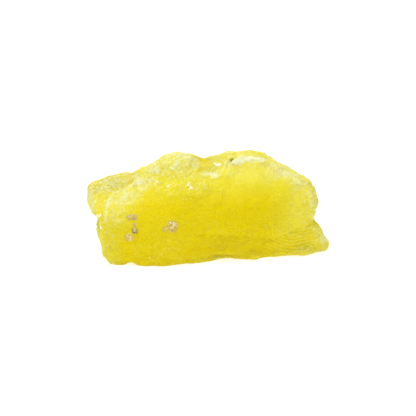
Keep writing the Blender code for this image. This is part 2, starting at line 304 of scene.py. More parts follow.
# Patterns that run through the mass: the size of a lump, and how its noise is made.
PATTERNS = {
    "clouds": {"size": 7, "detail": 3},
    "mottle": {"size": 1.6, "detail": 3, "roughness": 0.6},
    "sugar": {"size": 0.4, "detail": 3, "roughness": 0.7},
    "fibres": {"size": 1.1, "stretch": (3.2, 0.9, 0.9), "detail": 3, "roughness": 0.6},
    "sheets": {"size": 0.5, "stretch": (0.25, 0.8, 1), "roughness": 0.6},
    "wisps": {"size": 0.7, "stretch": (0.3, 1, 1.5), "distortion": 0.5},
    "fine": {
        "size": 0.38, "stretch": (0.65, 1, 1.2), "turn": (0, 0.4, 0), "detail": 1, "distortion": 1.6
    },
}
GRAIN_SIZE = 0.4
FLECKS = {"size": 0.5, "detail": 0}

# Amounts that the mesh carries at each vertex for the shader.
AMOUNTS = ("frost_and_light", "smooth", "layered", "fan", "hollow_shade", "deep_and_shade", "stain")

# The lines of the fan: how far apart they are, and what makes them wander.
FAN_LINE_SPACING = 0.95
FAN_LINE_WANDER = {"mottle": 3.5, "clouds": 5}

# How much each part adds to the paleness of the mass: everywhere, on sugary crust, on layered places,
# and on all but the smooth places.
BODY_TONE = {"frost_and_light": 1, "clouds": 0.24, "fan": 0.06}
SUGARY_TONE = {"grain": 0.4, "sugar": 1.9, "fibres": 1.2, "mottle": 0.4, "salt": 0.5}
LAYERED_TONE = {"sheets": 0.6, "salt": 0.6}
ROUGH_TONE = {"wisps": 0.36, "fine": 0.3, "salt": 0.2}
TONE_BASE = 0.01
ROUGH_BASE = 0.012

# How sugary bare mass is, how much frost adds until the sugar runs together, and what smooth places lose.
BARE_SUGAR = 0.12
FROST_SUGAR = 0.75
SUGAR_END = 1.25
SMOOTH_SUGAR_LOSS = 0.8
SMOOTH_ROUGH_LOSS = 0.7

# How steeply gold turns to lemon, and the tones where the frost, with the painted light it carries, and
# the white sugar start and are full.
LEMON_RISE = 2.8
FROST_AND_LIGHT_TONES = (0.3, 0.95)
SUGAR_TONES = (0.85, 1.3)

# How much each part and each deep patch darkens the yellow, painted shade in the hollows and deep patches
# and real mottle and fibres, and the dust that does where it isn't frosted.
DEEP_SHADE = {"hollow_shade": 0.7, "mottle": 0.4, "fibres": 0.35, "wisps": 1.4, "fan": -0.36}
DEEP_BASE = 0.8
DUST = {"pepper": 0.6, "dark_sheets": 2.4, "fine": -1.6}
DUST_END = 1.15

# Where in their patterns the specks and the flecks start and are full.
SPECK_RISE = (0.1, 0.22)
FLECK_RISE = (0.7, 0.78)

# The tan stain about the host rock: how its edge breaks up, what else is stained, and how strongly.
STAIN_EDGE = {"mottle": 2.5, "sugar": 2}
STAIN_BASE = 1.1
STAIN_RISE = (0.35, 0.8)
STAIN_SPECKS = {"flecks": 0.5, "dark_sheets": 0.35}
STAIN_STRENGTH = 0.6

# What the tone and the sugar add to the roughness of the surface.
TONE_ROUGHNESS = 0.2
SUGAR_ROUGHNESS = 0.3

# The finest relief, which is shading only: what makes it, how much of it bare mass has, what frost adds,
# what smooth places lose, and the height of 1.
FINE_RELIEF = {"sugar": 2, "grain": 0.6, "fibres": 1.5, "fine": 1}
FINE_RELIEF_BASE = 0.8
BARE_RELIEF = 0.3
FROST_RELIEF = 0.4
SMOOTH_RELIEF_LOSS = 0.5
FAN_RELIEF = 0.15
FINE_RELIEF_HEIGHT = 0.3

REFRACTION = 1.57

# The crystal plates' clouding, and how rough they are at least and how much clouding adds.
PLATE_CLOUDS = {"size": 1.2}
PLATE_ROUGHNESS = 0.1
PLATE_CLOUD_ROUGHNESS = 0.15

# The host rock's speckle: its lumps, where it turns from tan to cream, how it darkens the dark grains
# and polishes the rock, and the height of its relief.
HOST_SPECK = {"size": 0.5, "detail": 3, "roughness": 0.6}
HOST_SPECK_RISE = (0.35, 0.65)
HOST_DARKNESS = 0.6
HOST_ROUGHNESS = 0.75
HOST_SPECK_POLISH = 0.15
HOST_GLOSS = 0.3
HOST_RELIEF_HEIGHT = 0.08
HOST_RELIEF_STRENGTH = 0.7

# The table's clouding, its two near whites, and how rough it is at least and how much clouding adds.
TABLE_CLOUDS = {"size": 300, "detail": 1}
TABLE_WHITE = (0.62, 0.62, 0.62)
TABLE_GREY = (0.6, 0.6, 0.6)
TABLE_ROUGHNESS = 0.7
TABLE_CLOUD_ROUGHNESS = 0.1
WHITE_LIGHT = (1.0, 1.0, 1.0, 1.0)

# Lumps and grains of the surface: how wide they are, and how high they stand. Crust adds to the height
# of the two smallest.
BROAD_SIZE = 4.5
BROAD_HEIGHT = 0.26
BLOCK_SIZE = 3.4
BLOCK_HEIGHT = 0.3
LUMP_SIZE = 1.7
LUMP_HEIGHT = 0.08
SUGAR_SIZE = 1.25
SUGAR_HEIGHT = 0.05
CRUST_HEIGHT = 0.1

# The rolled face: how far it faces forward, where it starts along the specimen, and the share of the
# broad lumps that it lacks. The slab lacks a share of the small lumps and of the blocks.
ROLLED_FACING = (-0.1, 0.6)
ROLLED_START = (-28 * MM, -23 * MM)
ROLLED_BROAD_LOSS = 0.6
SLAB_LUMP_LOSS = 0.6
SLAB_BLOCK_LOSS = 0.8

# How unevenly the lines stand out, and how far the whole skin sinks to make room for its relief.
LINE_UNEVENNESS = 1.2
LINE_LIMITS = (0.3, 1.7)
SKIN_SINK = 0.1

# Roughness of the lumps, and the numbers that scatter the tilts of the grains.
FRACTAL_FALL = 0.9
LACUNARITY = 2.0
TILT_SCATTER = (97, 31)

# The mesh: how near its vertices are joined, how softly it is smoothed, how many rounds wear a plain
# place, and the height and the facing of the flat underside.
WELD_DISTANCE = 0.002 * MM
SMOOTH_FACTOR = 0.5
WORN_ROUNDS = 30
UNDERSIDE_HEIGHT = 0.25 * MM
UNDERSIDE_FACING = -0.6

# The ragged edge of the frost and of its painted light: the size of its lumps, its middle, its spread, and
# its limits.
RAGGED_SIZE = 1.6
RAGGED_MIDDLE = 0.7
RAGGED_SPREAD = 1.6
RAGGED_LIMITS = (0, 1.4)
FROST_MIDDLE = 0.8
FROST_SPREAD = 0.25

# Relief near the base: the share of it at the very edge, and the height where it is whole.
EDGE_RELIEF = 0.3
EDGE_HEIGHT = 1.2 * MM

# Ridges, hollows and thin places: the rounds that average their surroundings, where their effect starts
# and is full, the painted highlight on ridges and the painted light through thin places, the most
# paleness, the rays that measure the thickness, and the reach of a stain.
RIDGE_ROUNDS = 10
RIDGE_RISE = (0.05, 0.3)
RIDGE_HIGHLIGHT = 0.18
HOLLOW_RISE = (0.04, 0.3)
THIN_ROUNDS = 12
THIN_RISE = (4 * MM, 14 * MM)
THIN_LIGHT = 0.2
MOST_FROST = 1.4
RAY_START = 0.2 * MM
RAY_REACH = 30 * MM
STAIN_REACH = 1.3

# Crystal plates: how far they scatter and lean, their ranges of size and width, their taper and
# thickness, and the reach and the plates of a strewn cluster.
PLATE_SCATTER = 0.45
PLATE_LEAN = 0.4
PLATE_SIZES = (0.5, 1.0)
PLATE_WIDTHS = (0.4, 1.0)
PLATE_TAPER = 0.8
PLATE_THICKNESS = 0.4
CLUSTER_REACHES = (0.3, 1.0)
CLUSTER_PLATES = (1, 5)

# Host rock grains: how far they scatter, their ranges of size, shade and width, how deep they sit, and
# the bumps on them.
GRAIN_SCATTER = 0.5
GRAIN_SIZES = (0.4, 1.0)
GRAIN_SHADES = (0.4, 1.0)
GRAIN_WIDTHS = (0.6, 1.0)
GRAIN_RADIUS = 1.1
GRAIN_SINK = 0.3
GRAIN_BUMP = 0.25
GRAIN_BUMP_SIZE = 0.4 * MM

# The stage: the soft lights by name, place and width, the gap under the specimen, and the camera's film.
LIGHTS = (
    ("overhead", (-0.12, 0.02, 0.5), 0.3),
    ("behind", (0.1, 0.45, 0.22), 0.3),
)
TABLE_GAP = 0.05 * MM
FILM_WIDTH_MM = 36
NEAREST_SEEN = 0.01


def smoothstep(low, high, value):
    t = np.clip((value - low) / (high - low), 0.0, 1.0)
    return t * t * (3 - 2 * t)


def patch_share(places, centre, radii):
    """1 at the centre of a soft ellipsoid, falling to 0 outside it."""
    away = (places / MM - np.array(centre)) / np.array(radii)
    return np.exp(-PATCH_FALL * (away**2).sum(axis=1) ** PATCH_POWER)


def patch_amounts(places, patches):
    """How much of the patches reaches each place, the strongest one counting."""
    amounts = np.zeros(len(places))
    for _name, centre, radii, amount in patches:
        amounts = np.maximum(amounts, amount * patch_share(places, centre, radii))
    return amounts


def painted_edge_light(places):
    """How far each place is paled by the painted light of its top, its thin ends and its base, all
    together.
    """
    left_out = np.ones(len(places))
    for _name, start, end, axis, amount in PAINTED_LIGHT_EDGES:
        left_out *= 1 - amount * smoothstep(start, end, places[:, axis] / MM)
    return 1 - left_out


def line_amounts(places, points, half_width):
    """1 on the line through the points, falling to 0 a few half widths away."""
    nearest = np.full(len(places), np.inf)
    points = np.array(points, float)
    for start, end in zip(points, points[1:]):
        along = end - start
        share = np.clip(((places / MM - start) @ along) / (along @ along), 0, 1)
        away = np.linalg.norm(places / MM - (start + share[:, None] * along), axis=1)
        nearest = np.minimum(nearest, away)
    return np.exp(-((nearest / half_width) ** 2))


# Shader maths

# Places of a colour Mix node's sockets among its inputs and its outputs.
MIX_SHARE, MIX_FIRST, MIX_SECOND = 0, 6, 7
MIX_COLOUR = 2


class Flow:
    """A number that varies over a surface. Arithmetic on it adds Math nodes."""

    def __init__(self, graph, socket):
        self.graph = graph
        self.socket = socket

    def maths(self, operation, *values, clamp=False):
        settings = {"operation": operation, "use_clamp": clamp}
        return self.graph.node("ShaderNodeMath", settings, dict(enumerate(values)))

    def __add__(self, other):
        return self.maths("ADD", self, other)

    def __radd__(self, other):
        return self.maths("ADD", other, self)

    def __sub__(self, other):
        return self.maths("SUBTRACT", self, other)

    def __rsub__(self, other):
        return self.maths("SUBTRACT", other, self)

    def __mul__(self, other):
        return self.maths("MULTIPLY", self, other)

    def __rmul__(self, other):
        return self.maths("MULTIPLY", other, self)

    def clamped(self):
        """The same number held between 0 and 1."""
        return self.maths("ADD", self, 0.0, clamp=True)

    def sine(self):
        return self.maths("SINE", self)

    def rise(self, low, high):
        """0 below low and 1 above high, smooth between."""
        settings = {"interpolation_type": "SMOOTHSTEP"}
        values = {"Value": self, "From Min": low, "From Max": high}
        return self.graph.node("ShaderNodeMapRange", settings, values)


def blended(parts, weights):
    """The parts that have a weight, each times its weight, added up."""
    return reduce(add, (parts[name] * weight for name, weight in weights.items()))


class Graph:
    """The nodes of one material, or of the surround."""

    def __init__(self, owner):
        owner.use_nodes = True
        self.owner = owner
        self.tree = owner.node_tree
        self.tree.nodes.clear()

    def node(self, kind, settings=None, values=None, output=0):
        """Adds a node, makes its settings, and then fills or links its sockets."""
        made = self.tree.nodes.new(kind)
        for name, value in (settings or {}).items():
            setattr(made, name, value)
        for key, value in (values or {}).items():
            if isinstance(value, Flow):
                self.tree.links.new(value.socket, made.inputs[key])
            else:
                made.inputs[key].default_value = value
        return Flow(self, made.outputs[output]) if made.outputs else None

    def places(self):
        return self.node("ShaderNodeTexCoord", output="Object")

    def attribute(self, name):
        return self.node("ShaderNodeAttribute", {"attribute_name": name}, output="Fac")

    def noise(self, places, size, stretch=None, turn=(0, 0, 0), detail=2, roughness=0.5, distortion=0):
        """Soft noise from 0 to 1 with lumps about size millimetres across, turned and stretched."""
        if stretch:
            values = {"Vector": places, "Scale": stretch, "Rotation": turn}
            places = self.node("ShaderNodeMapping", None, values)
        values = {
            "Vector": places,
            "Scale": 1 / (size * MM),
            "Detail": detail,
            "Roughness": roughness,
            "Distortion": distortion,
        }
        return self.node("ShaderNodeTexNoise", {"noise_dimensions": "3D"}, values)

    def cell_chance(self, places, size):
        """A number from 0 to 1, the same all over each grain about size millimetres across."""
        values = {"Vector": places, "Scale": 1 / (size * MM)}
        colour = self.node("ShaderNodeTexVoronoi", {"feature": "F1"}, values, "Color")
        return self.node("ShaderNodeSeparateColor", None, {"Color": colour}, "Red")

    def distance(self, places, heart):
        """How far each place is from the heart, which is given in millimetres."""
        values = {0: places, 1: tuple(axis * MM for axis in heart)}
        return self.node("ShaderNodeVectorMath", {"operation": "DISTANCE"}, values, "Value")

    def mix(self, share, first, second, blend="MIX"):
        """A colour between two others."""
        settings = {"data_type": "RGBA", "blend_type": blend}
        ends = (end if isinstance(end, Flow) else (*end, 1.0) for end in (first, second))
        values = dict(zip((MIX_SHARE, MIX_FIRST, MIX_SECOND), (share, *ends)))
        return self.node("ShaderNodeMix", settings, values, MIX_COLOUR)

    def bump(self, height, distance, strength=1.0):
        """The normal of a surface whose height of 1 is distance millimetres."""
        values = {"Height": height, "Distance": distance * MM, "Strength": strength}
        return self.node("ShaderNodeBump", None, values)

    def finish(self, values):
        """The material, once its surface has these values."""
        shader = self.node("ShaderNodeBsdfPrincipled", None, values)
        self.node("ShaderNodeOutputMaterial", None, {"Surface": shader})
        return self.owner


def mass_parts(graph):
    """What the mass's shader is blended from: its patterns, centred on 0, its specks and its amounts."""
    places = graph.places()
    parts = {name: graph.noise(places, **settings) - 0.5 for name, settings in PATTERNS.items()}
    parts.update((name, graph.attribute(name)) for name in AMOUNTS)
    parts["grain"] = graph.cell_chance(places, GRAIN_SIZE) - 0.5
    parts["salt"] = parts["fine"].rise(*SPECK_RISE)
    parts["pepper"] = (0 - parts["fine"]).rise(*SPECK_RISE)
    parts["flecks"] = graph.noise(places, **FLECKS).rise(*FLECK_RISE)
    parts["dark_sheets"] = parts["pepper"] * parts["layered"]
    away = graph.distance(places, FAN_HEART) * (2 * math.pi / (FAN_LINE_SPACING * MM))
    parts["fan"] *= (away + blended(parts, FAN_LINE_WANDER)).sine()
    return parts


def mass_tone(parts):
    """How pale the mass is, by frost and by painted light: 0 where it is clear and gold, above 1 in the
    whitest sugar and the painted highlights.
    """
    frost_and_light = parts["frost_and_light"]
    smooth = parts["smooth"]
    sugary = BARE_SUGAR + frost_and_light * (SUGAR_END - frost_and_light).clamped() * FROST_SUGAR
    tone = blended(parts, BODY_TONE) + TONE_BASE
    tone = tone + blended(parts, SUGARY_TONE) * sugary * (1 - smooth * SMOOTH_SUGAR_LOSS)
    tone = tone + blended(parts, LAYERED_TONE) * parts["layered"]
    return tone + (blended(parts, ROUGH_TONE) + ROUGH_BASE) * (1 - smooth * SMOOTH_ROUGH_LOSS)


def mass_shade(parts):
    """How far the yellow darkens: painted shade in hollows and in the deep patches, with real mottle and
    dust.
    """
    shade = parts["deep_and_shade"] * (DEEP_BASE + parts["clouds"]) + blended(parts, DEEP_SHADE)
    dust = blended(parts, DUST) * (DUST_END - parts["frost_and_light"]).clamped()
    return (shade + dust).clamped()


def mass_stain(parts):
    """How far the mass is stained tan, about the host rock and in scattered specks."""
    stain = (parts["stain"] * (STAIN_BASE + blended(parts, STAIN_EDGE))).rise(*STAIN_RISE)
    return ((stain + blended(parts, STAIN_SPECKS)) * STAIN_STRENGTH).clamped()


def mass_relief(parts):
    """Height of the finest relief."""
    crust = (BARE_RELIEF + parts["frost_and_light"] * FROST_RELIEF) * (1 - parts["smooth"] * SMOOTH_RELIEF_LOSS)
    relief = (blended(parts, FINE_RELIEF) + FINE_RELIEF_BASE) * crust
    return relief + parts["sheets"] * parts["layered"] + parts["fan"] * FAN_RELIEF


def brucite_material(finish):
    graph = Graph(bpy.data.materials.new("brucite_waxy_yellow"))
    parts = mass_parts(graph)
    tone = mass_tone(parts)
    # Pale colours of the crust, which also paint the light from above, the rim light and the light through
    # thin places.
    colour = graph.mix((tone * LEMON_RISE).clamped(), finish.gold, finish.lemon)
    colour = graph.mix(tone.rise(*FROST_AND_LIGHT_TONES), colour, finish.frost_and_light)
    colour = graph.mix(tone.rise(*SUGAR_TONES), colour, finish.sugar)
    # Painted shade: the olive tint darkens the hollows and the deep patches, along with the real dust and
    # mottle.
    shaded_and_dusty = graph.mix(1.0, colour, finish.olive, "MULTIPLY")
    colour = graph.mix(mass_shade(parts), colour, shaded_and_dusty)
    colour = graph.mix(mass_stain(parts), colour, finish.host_tan)
    return graph.finish(
        {
            "Base Color": colour,
            "Roughness": finish.roughness + tone * TONE_ROUGHNESS + parts["sugar"] * SUGAR_ROUGHNESS,
            "Specular IOR Level": finish.gloss,
            "IOR": REFRACTION,
            "Subsurface Weight": finish.glow,
            "Subsurface Radius": finish.glow_colour,
            "Subsurface Scale": finish.glow_depth,
            "Normal": graph.bump(mass_relief(parts), FINE_RELIEF_HEIGHT),
        }
    )


def crystal_material(finish):
    graph = Graph(bpy.data.materials.new("brucite_crystal_plate"))
    clouds = graph.noise(graph.places(), **PLATE_CLOUDS)
    return graph.finish(
        {
            "Base Color": graph.mix(clouds, finish.plate_dark, finish.plate_light),
            "Roughness": PLATE_ROUGHNESS + clouds * PLATE_CLOUD_ROUGHNESS,
            "IOR": REFRACTION,
        }
    )


def host_material(finish):
    graph = Graph(bpy.data.materials.new("host_rock_grain"))
    speck = graph.noise(graph.places(), **HOST_SPECK)
    colour = graph.mix(speck.rise(*HOST_SPECK_RISE), finish.host_tan, finish.host_cream)
    darkness = graph.attribute("dark") * (1 + speck) * HOST_DARKNESS
    return graph.finish(
        {
            "Base Color": graph.mix(darkness.clamped(), colour, finish.host_dark),
            "Roughness": HOST_ROUGHNESS - speck * HOST_SPECK_POLISH,
            "Specular IOR Level": HOST_GLOSS,
            "Normal": graph.bump(speck, HOST_RELIEF_HEIGHT, HOST_RELIEF_STRENGTH),
        }
    )


def table_material(glow):
    """Frosted white glass, faintly lit from below."""
    graph = Graph(bpy.data.materials.new("white_light_table"))
    clouds = graph.noise(graph.places(), **TABLE_CLOUDS)
    return graph.finish(
        {
            "Base Color": graph.mix(clouds, TABLE_WHITE, TABLE_GREY),
            "Roughness": TABLE_ROUGHNESS + clouds * TABLE_CLOUD_ROUGHNESS,
            "Emission Color": WHITE_LIGHT,
            "Emission Strength": glow,
        }
    )


def white_surround(glow):
    """A white room that looks as bright as the table, and lights the specimen by its glow."""
    graph = Graph(bpy.data.worlds.new("white_surround"))
    seen = graph.node("ShaderNodeLightPath", output="Is Camera Ray")
    values = {"Color": WHITE_LIGHT, "Strength": seen * (1 - glow) + glow}
    background = graph.node("ShaderNodeBackground", None, values)
    graph.node("ShaderNodeOutputWorld", None, {"Surface": background})
    return graph.owner


# Meshes


def new_piece(name, mesh, material):
    mesh.materials.clear()
    mesh.materials.append(material)
    piece = bpy.data.objects.new(name, mesh)
    bpy.context.scene.collection.objects.link(piece)
    return piece


def mesh_from(bm, name):
    mesh = bpy.data.meshes.new(name)
    bm.to_mesh(mesh)
    bm.free()
    return mesh


def merged_solid():
    """A copy of the solid's mesh whose loose triangles are joined."""
    bm = bmesh.new()
    bm.from_mesh(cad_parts[NODE].data)
    bmesh.ops.remove_doubles(bm, verts=bm.verts, dist=WELD_DISTANCE)
    return mesh_from(bm, "merged_solid")


def fine_skin(voxel, rounds):
    """The solid's surface as an even, dense mesh with its facets smoothed away."""
    holder = bpy.data.objects.new("skin_holder", merged_solid())
    bpy.context.scene.collection.objects.link(holder)
    remesh = holder.modifiers.new("even", "REMESH")
    remesh.mode = "VOXEL"
    remesh.voxel_size = voxel
    smooth = holder.modifiers.new("soften", "SMOOTH")
    smooth.iterations = rounds
    smooth.factor = SMOOTH_FACTOR
    depsgraph = bpy.context.evaluated_depsgraph_get()
    mesh = bpy.data.meshes.new_from_object(holder.evaluated_get(depsgraph))
    bpy.data.objects.remove(holder)
    return mesh


def vertex_vectors(mesh, name):
    vectors = np.empty(len(mesh.vertices) * 3, np.float32)
    mesh.vertices.foreach_get(name, vectors)
    return vectors.reshape(-1, 3).astype(np.float64)


def mesh_places(mesh):
    return vertex_vectors(mesh, "co")


def mesh_normals(mesh):
    return vertex_vectors(mesh, "normal")


def set_places(mesh, places):
    mesh.vertices.foreach_set("co", places.astype(np.float32).ravel())
    mesh.update()


def set_amount(mesh, name, amounts):
    attribute = mesh.attributes.new(name, "FLOAT", "POINT")
    attribute.data.foreach_set("value", amounts.astype(np.float32))


def amount_of(mesh, name):
    values = np.empty(len(mesh.vertices), np.float32)
    mesh.attributes[name].data.foreach_get("value", values)
    return values.astype(np.float64)


def neighbour_mean(mesh, values, rounds):
    """Each vertex's value averaged with its neighbours, some rounds over."""
    ends = np.empty(len(mesh.edges) * 2, np.int32)
    mesh.edges.foreach_get("vertices", ends)
    first, second = ends.reshape(-1, 2).T
    count = np.bincount(first, minlength=len(values)) + np.bincount(second, minlength=len(values))
    for _round in range(rounds):
        total = np.bincount(first, values[second], len(values))
        total += np.bincount(second, values[first], len(values))
        values = total / count
    return values


def soft_places(mesh, rounds):
    places = mesh_places(mesh)
    return np.stack([neighbour_mean(mesh, places[:, axis], rounds) for axis in range(3)], axis=1)


def bulge(mesh, rounds):
    """How far each vertex stands out from its neighbourhood, in millimetres: above 0 on a ridge."""
    return ((mesh_places(mesh) - soft_places(mesh, rounds)) * mesh_normals(mesh)).sum(axis=1) / MM


def surface_tree(mesh):
    places = [vert.co for vert in mesh.vertices]
    return BVHTree.FromPolygons(places, [tuple(face.vertices) for face in mesh.polygons])


def thickness(mesh, reach):
    """How far the mass goes on behind each vertex, in metres, up to reach."""
    tree = surface_tree(mesh)
    depths = np.empty(len(mesh.vertices))
    for index, vert in enumerate(mesh.vertices):
        inward = -vert.normal
        _place, _normal, _face, depth = tree.ray_cast(vert.co + inward * RAY_START, inward, reach)
        depths[index] = reach if depth is None else depth
    return depths


# Relief of the mass, in millimetres


def field(places, measure):
    """The measure taken at each place, given in millimetres."""
    return np.array([measure(Vector(place)) for place in places / MM])


def fractal(size, octaves=3):
    return lambda place: noise.fractal(place / size, FRACTAL_FALL, LACUNARITY, octaves)


def facets(size):
    """Flat grains about size across, each tilted its own way."""

    def height(place):
        _distances, seeds = noise.voronoi(place / size)
        seed = seeds[0]
        ahead, behind = TILT_SCATTER
        lean = Vector([math.sin(ahead * seed[axis] + behind * seed[axis - 1]) for axis in range(3)])
        return lean.dot(place / size - seed)

    return height


def layers(places, direction, spacing, wander):
    """Ridges square to the direction, as on the edge of a stack of thin sheets."""
    across = places / MM @ np.array(direction) / np.linalg.norm(direction)
    return np.sin((across + wander) * 2 * math.pi / spacing)


def rings(places, centre, spacing, wander):
    """Ridges that run in rings about the centre."""
    away = np.linalg.norm(places / MM - np.array(centre), axis=1)
    return np.sin((away + wander) * 2 * math.pi / spacing)


# Ridges on the layered places: which place, how they run and about or across what, how far apart they
# are, how high they stand, and how far the broad lumps make them wander.
RIDGES = (
    ("slab", layers, (0.12, -0.5, 1), 0.9, 0.06, 0.4),
    ("foot", rings, FAN_HEART, 1.1, 0.05, 0.3),
    ("right_end", layers, (0.25, 0.1, 1), 0.9, 0.07, 0.3),
    ("left_end", layers, (0.1, -0.5, 1), 1.6, 0.16, 0.8),
    ("back", layers, (0.3, 0.4, 1), 2.1, 0.18, 1.2),
)


def crust_relief(places, normals, frost_and_light):
    """How far the finished surface stands out at each place, in millimetres."""
    broad = field(places, fractal(BROAD_SIZE, octaves=2))
    lumps = field(places, fractal(LUMP_SIZE))
    sugar = field(places, facets(SUGAR_SIZE))
    blocks = field(places, facets(BLOCK_SIZE))
    layered = {patch[0]: patch_amounts(places, [patch]) for patch in LAYERED_PATCHES}
    rolled = smoothstep(*ROLLED_FACING, -normals[:, 1]) * smoothstep(*ROLLED_START, places[:, 0])
    crust = np.clip(frost_and_light, 0, 1) * (1 - patch_amounts(places, SMOOTH_PATCHES))

    relief = BROAD_HEIGHT * broad * (1 - ROLLED_BROAD_LOSS * rolled)
    relief += BLOCK_HEIGHT * blocks * (1 - rolled) * (1 - SLAB_BLOCK_LOSS * layered["slab"])
    small = lumps * (LUMP_HEIGHT + CRUST_HEIGHT * crust) + sugar * (SUGAR_HEIGHT + CRUST_HEIGHT * crust)
    relief += small * (1 - SLAB_LUMP_LOSS * layered["slab"])
    for patch, ridges, guide, spacing, height, wander in RIDGES:
        relief += height * layered[patch] * ridges(places, guide, spacing, wander * broad)
    uneven = np.clip(1 + LINE_UNEVENNESS * lumps, *LINE_LIMITS)
    for _name, points, half_width, height, _painted_light in LINES:
        relief += height * uneven * line_amounts(places, points, half_width)
    for _name, centre, radii, height in SWELLS:
        relief += height * patch_share(places, centre, radii)
    return relief - SKIN_SINK


# The mass


def frost_and_light_amounts(places):
    """How pale each place is, by frost and by painted light and shade, before its ridges and thin places
    are known.
    """
    ragged = RAGGED_MIDDLE + RAGGED_SPREAD * field(places, fractal(RAGGED_SIZE))
    ragged = np.clip(ragged, *RAGGED_LIMITS)
    frost_and_light = patch_amounts(places, FROST_AND_LIGHT_PATCHES) * (FROST_MIDDLE + FROST_SPREAD * ragged)
    frost_and_light = np.maximum(frost_and_light, painted_edge_light(places))
    frost_and_light *= 1 - patch_amounts(places, BARE_PATCHES)
    # Painted highlight on rims and crests, and painted shade in creases.
    for _name, points, half_width, _height, painted_light in LINES:
        frost_and_light += painted_light * ragged * line_amounts(places, points, half_width)
    return frost_and_light


def raised_places(mesh, frost_and_light, relief):
    """Where the skin's vertices go when its crust is raised, in the solid's box and flat underneath."""
    places, normals = mesh_places(mesh), mesh_normals(mesh)
    underside = (places[:, 2] < UNDERSIDE_HEIGHT) & (normals[:, 2] < UNDERSIDE_FACING)
    heights = relief * crust_relief(places, normals, frost_and_light)
    rim = EDGE_RELIEF + (1 - EDGE_RELIEF) * smoothstep(0.0, EDGE_HEIGHT, places[:, 2])
    places += normals * (heights * rim * MM)[:, None]
    low, high = (np.array(corner) for corner in SOLID_BOX)
    places = np.clip(places, low, high)
    places[underside, 2] = 0.0
    for _name, centre, radii, lift in BASE_CHIPS:
        places[:, 2] += lift * MM * patch_share(places, centre, radii)
    return places


def paint_mass(mesh, places, frost_and_light):
    """Gives the mesh the amounts that its shader reads, painted light on thin places and ridges and
    painted shade in hollows among them.
    """
    stand_out = bulge(mesh, RIDGE_ROUNDS)
    depths = neighbour_mean(mesh, thickness(mesh, RAY_REACH), THIN_ROUNDS)
    # Painted light: thin places and standing ridges are paled as if lit through and on their crests.
    frost_and_light = frost_and_light + THIN_LIGHT * (1 - smoothstep(*THIN_RISE, depths))
    frost_and_light = frost_and_light + RIDGE_HIGHLIGHT * smoothstep(*RIDGE_RISE, stand_out)
    stains = [
        (name, centre, np.array(spread) * STAIN_REACH, 1.0)
        for name, centre, spread, _count, _largest, _darkness in HOST_SPOTS
    ]
    amounts = {
        "frost_and_light": np.clip(frost_and_light, 0, MOST_FROST),
        "smooth": patch_amounts(places, SMOOTH_PATCHES),
        "layered": patch_amounts(places, LAYERED_PATCHES),
        "fan": patch_share(places, *FAN_PATCH),
        # Painted shade: hollows are darkened where light would be trapped.
        "hollow_shade": smoothstep(*HOLLOW_RISE, -stand_out),
        # Painted shade, with deeper gold in the thick middle.
        "deep_and_shade": patch_amounts(places, DEEP_AND_SHADE_PATCHES),
        "stain": patch_amounts(places, stains),
    }
    for name in AMOUNTS:
        set_amount(mesh, name, amounts[name])


def build_mass(settings):
    mesh = fine_skin(settings.voxel, settings.smoothing)
    mesh.name = "brucite_mass"
    worn = patch_amounts(mesh_places(mesh), PLAIN_PATCHES)[:, None]
    set_places(mesh, mesh_places(mesh) * (1 - worn) + soft_places(mesh, WORN_ROUNDS) * worn)
    frost_and_light = frost_and_light_amounts(mesh_places(mesh))
    places = raised_places(mesh, frost_and_light, settings.relief)
    set_places(mesh, places)
    paint_mass(mesh, places, frost_and_light)
    mesh.shade_smooth()
    return mesh


# Crystals and grains


def random_turn(rng):
    return Matrix.Rotation(rng.uniform(0, 2 * math.pi), 4, "Z")


def random_step(rng, scatter, reaches=(1, 1, 1)):
    """A random step that scatters by a share of the reach along each axis."""
    return Vector([rng.gauss(0, scatter) * reach for reach in reaches])


def surface_spots(mesh, count, chance, rng):
    """Places of the mesh's vertices drawn at random, more often where the chance is high."""
    picks = rng.choices(range(len(mesh.vertices)), weights=(chance**2).tolist(), k=count)
    return [mesh.vertices[pick].co.copy() for pick in picks]


def well_inside(place, margin):
    """Whether the place lies in the solid's box with the margin to spare on every side."""
    low, high = SOLID_BOX
    return all(low[axis] + margin < place[axis] < high[axis] - margin for axis in range(3))


def add_plates(bm, tree, heart, spread, count, largest, rng):
    """Six-sided plates, half sunk in the crust about the heart, each tilted its own way."""
    for _plate in range(count):
        step = random_step(rng, PLATE_SCATTER, (spread, spread, spread))
        place, normal, _face, _away = tree.find_nearest(heart + step)
        size = rng.uniform(*PLATE_SIZES) * largest
        if not well_inside(place, size):
            continue
        lean = random_step(rng, PLATE_LEAN)
        facing = (normal + lean).normalized().to_track_quat("Z", "Y").to_matrix().to_4x4()
        stretch = Matrix.Diagonal((1, rng.uniform(*PLATE_WIDTHS), 1, 1))
        bmesh.ops.create_cone(
            bm,
            cap_ends=True,
            segments=6,
            radius1=size / 2,
            radius2=size / 2 * PLATE_TAPER,
            depth=size * PLATE_THICKNESS,
            matrix=Matrix.Translation(place) @ facing @ stretch @ random_turn(rng),
        )


def build_crystals(mass, settings):
    """The named glints, and finer plates strewn over the sugary crust."""
    rng = random.Random(settings.seed)
    tree = surface_tree(mass.data)
    bm = bmesh.new()
    for _name, centre, spread, count, largest in GLINTS:
        add_plates(bm, tree, Vector(centre) * MM, spread * MM, count, largest * MM, rng)
    chance = np.clip(amount_of(mass.data, "frost_and_light") * (1 - amount_of(mass.data, "smooth")), 0, 1)
    for heart in surface_spots(mass.data, settings.clusters, chance, rng):
        spread = rng.uniform(*CLUSTER_REACHES) * settings.spread
        add_plates(bm, tree, heart, spread, rng.randint(*CLUSTER_PLATES), settings.size, rng)
    return mesh_from(bm, "crystal_plates")


